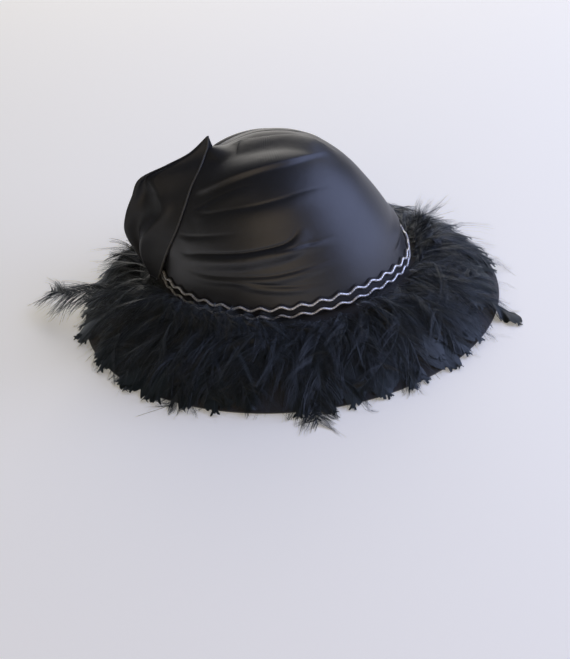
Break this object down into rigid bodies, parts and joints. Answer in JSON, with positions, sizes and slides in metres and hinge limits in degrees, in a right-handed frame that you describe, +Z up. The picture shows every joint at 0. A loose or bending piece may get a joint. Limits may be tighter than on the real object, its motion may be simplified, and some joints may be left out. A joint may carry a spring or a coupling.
{
  "type": "brimmed felt hat with draped satin crown and feather trim",
  "caption": "Felt hat with a rounded crown under pleated black satin, a standing satin tail, waved silver and black braid and a brim covered with black feathers.",
  "frame": {"origin": "on the crown's axis, in the plane of the brim's edge that the hat rests on", "axes": "+Z up through the crown, -Y to the front of the hat, -X to the wearer's right; the head opening is longer along Y"},
  "size_m": [0.3453, 0.3851, 0.1508],
  "materials": {
    "felt": "pressed wool felt, matt",
    "satin": "black satin with a soft sheen",
    "braid": "woven braid, matt",
    "silver": "twisted metallic thread",
    "feather": "soft feather with a faint blue-green gloss"
  },
  "bodies": {
    "root": {"felt_body": "felt", "satin_cover": "satin", "satin_tail": "satin", "braid_ribbon": "braid", "silver_cord_upper": "silver", "silver_cord_lower": "silver", "feather_trim": "feather"}
  },
  "joints": []
}
